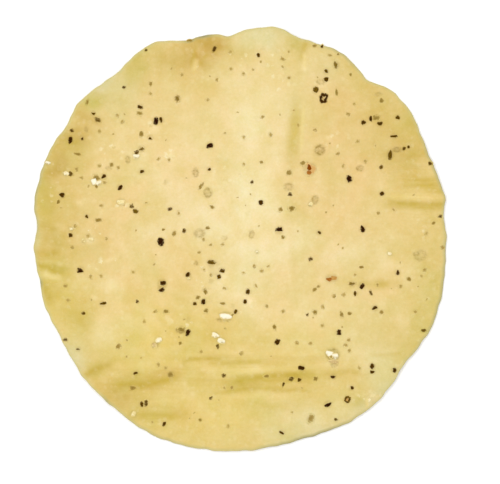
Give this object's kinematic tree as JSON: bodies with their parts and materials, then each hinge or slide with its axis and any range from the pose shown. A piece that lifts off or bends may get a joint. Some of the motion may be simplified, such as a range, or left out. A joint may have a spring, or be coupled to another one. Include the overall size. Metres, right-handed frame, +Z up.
{
  "type": "papadum",
  "caption": "Raw papadum: a thin round hand-rolled sheet of dried lentil dough with a curled, creased rim and bits of cracked pepper, husk and chilli pressed into it.",
  "frame": {"origin": "middle of the underside, where the sheet lies on the table", "axes": "+X to the right of the sheet and +Y to its top edge as pictured from above, +Z up"},
  "size_m": [0.1612, 0.1656, 0.0056],
  "materials": {
    "dough": "dry, slightly waxy and a little translucent",
    "pepper": "dull black, wrinkled",
    "husk": "dull brown to olive",
    "chilli": "slightly glossy red-brown",
    "chip": "glossy, pale"
  },
  "bodies": {
    "root": {"papadum": "dough"}
  },
  "joints": []
}
